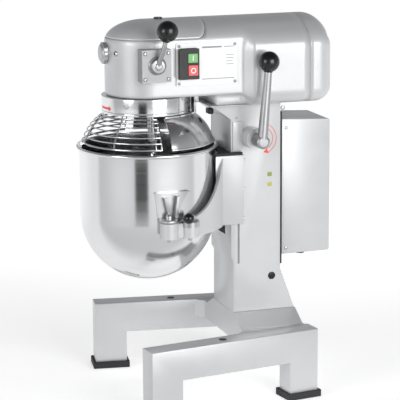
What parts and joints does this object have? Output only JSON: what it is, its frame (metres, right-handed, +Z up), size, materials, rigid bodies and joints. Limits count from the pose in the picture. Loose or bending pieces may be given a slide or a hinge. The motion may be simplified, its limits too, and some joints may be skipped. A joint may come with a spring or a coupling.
{
  "type": "stand mixer",
  "caption": "Floor-standing commercial planetary mixer with a lift-up bowl on a yoke, wire bowl guard, dough hook, lift lever and speed selector.",
  "frame": {"origin": "on the floor, at the centre of the mixer's footprint box", "axes": "+Z up, -Y to the mixer's front (bowl and attachment hub), +X to the side with the lift lever and the switch panel"},
  "size_m": [0.5142, 0.593, 0.89],
  "materials": {
    "grey_paint": "silver-grey hammered enamel, satin",
    "polished_steel": "polished stainless steel",
    "plain_steel": "machined steel",
    "rubber": "matt black rubber",
    "black_plastic": "glossy black phenolic",
    "white_panel": "white foil on sheet metal",
    "cast_grey": "as-cast aluminium",
    "gear_steel": "hobbed gear steel",
    "copper_winding": "lacquered copper winding on laminations",
    "green_plastic": "moulded green plastic",
    "red_plastic": "moulded red plastic"
  },
  "bodies": {
    "frame": {"base_frame": "grey_paint", "foot_front_right": "rubber", "foot_front_left": "rubber", "foot_rear_right": "rubber", "foot_rear_left": "rubber", "rail_plug_right": "black_plastic", "rail_plug_left": "black_plastic", "column": "grey_paint", "column_plug": "black_plastic", "box_gasket": "rubber", "control_box": "grey_paint", "mounting_plate": "plain_steel", "transformer": "copper_winding", "contactor": "black_plastic", "cable_gland": "black_plastic", "head_casting": "grey_paint", "head_lid": "grey_paint", "motor_cover": "grey_paint", "oil_plug": "black_plastic", "hub_cap": "cast_grey", "selector_housing": "cast_grey", "control_panel": "white_panel", "switch_housing": "black_plastic", "ring_gear": "gear_steel", "gear_plate": "cast_grey", "lower_bearing": "polished_steel", "upper_bearing": "polished_steel", "motor_stator": "copper_winding", "guard_shield": "polished_steel", "guard_switch": "black_plastic"},
    "start_button": {"start_button": "green_plastic"},
    "stop_button": {"stop_button": "red_plastic"},
    "selector": {"selector_lever": "plain_steel", "selector_knob": "black_plastic"},
    "hub_drive": {"hub_shaft": "plain_steel", "drive_gear": "gear_steel"},
    "motor": {"motor_rotor": "plain_steel", "motor_fan": "black_plastic"},
    "planetary": {"planet_drum": "polished_steel", "main_shaft": "plain_steel", "bevel_gear": "gear_steel"},
    "agitator": {"planet_shaft": "plain_steel", "dough_hook": "polished_steel"},
    "bowl_carriage": {"bowl_yoke": "grey_paint", "bowl": "polished_steel", "bowl_ear_right": "polished_steel", "bowl_ear_left": "polished_steel", "bowl_pin_right": "plain_steel", "bowl_pin_left": "plain_steel", "lift_link": "plain_steel", "gib_strip_right": "plain_steel", "gib_strip_left": "plain_steel", "way_wiper": "rubber"},
    "lift_handle": {"lift_lever": "plain_steel", "lift_knob": "black_plastic"},
    "clamp_right": {"clamp_lever_right": "plain_steel", "clamp_knob_right": "black_plastic"},
    "clamp_left": {"clamp_lever_left": "plain_steel", "clamp_knob_left": "black_plastic"},
    "guard_cage": {"guard_cage": "polished_steel"}
  },
  "joints": [
    {"name": "start_press", "type": "slide", "parent": "frame", "child": "start_button", "axis": [-1, 0, 0], "range_m": [0, 0.003], "stiffness_N_per_m": 400, "springref_m": -0.001},
    {"name": "stop_press", "type": "slide", "parent": "frame", "child": "stop_button", "axis": [-1, 0, 0], "range_m": [0, 0.004], "stiffness_N_per_m": 400, "springref_m": -0.001},
    {"name": "speed_select", "type": "hinge", "parent": "frame", "child": "selector", "pos_m": [0.1, -0.1415, 0.786], "axis": [1, 0, 0], "range_deg": [-30, 30]},
    {"name": "drum_spin", "type": "hinge", "parent": "frame", "child": "planetary", "pos_m": [0, -0.1325, 0.7], "axis": [0, 0, 1], "continuous": true},
    {"name": "agitator_spin", "type": "hinge", "parent": "planetary", "child": "agitator", "pos_m": [0.045, -0.1325, 0.7], "axis": [0, 0, 1], "continuous": true},
    {"name": "hub_spin", "type": "hinge", "parent": "frame", "child": "hub_drive", "pos_m": [0, 0, 0.805], "axis": [0, 1, 0], "continuous": true},
    {"name": "motor_spin", "type": "hinge", "parent": "frame", "child": "motor", "pos_m": [0, 0, 0.749], "axis": [0, 1, 0], "continuous": true},
    {"name": "bowl_lift", "type": "slide", "parent": "frame", "child": "bowl_carriage", "axis": [0, 0, -1], "range_m": [0, 0.095]},
    {"name": "lift_handle_turn", "type": "hinge", "parent": "frame", "child": "lift_handle", "pos_m": [0.1, 0.0975, 0.604], "axis": [-1, 0, 0], "range_deg": [0, 150]},
    {"name": "clamp_right_turn", "type": "hinge", "parent": "bowl_carriage", "child": "clamp_right", "pos_m": [0.176, -0.0865, 0.447], "axis": [0, 0, 1], "range_deg": [0, 75]},
    {"name": "clamp_left_turn", "type": "hinge", "parent": "bowl_carriage", "child": "clamp_left", "pos_m": [-0.176, -0.0865, 0.447], "axis": [0, 0, -1], "range_deg": [0, 75]},
    {"name": "guard_turn", "type": "hinge", "parent": "frame", "child": "guard_cage", "pos_m": [0, -0.1325, 0.63], "axis": [0, 0, -1], "range_deg": [0, 85]}
  ],
  "couplings": [
    {"joint": "agitator_spin", "follows": "drum_spin", "ratio": -2.6667},
    {"joint": "hub_spin", "follows": "drum_spin", "ratio": 2.25},
    {"joint": "motor_spin", "follows": "drum_spin", "ratio": -6.75},
    {"joint": "lift_handle_turn", "follows": "bowl_lift", "rad_per_m": 27.5}
  ]
}
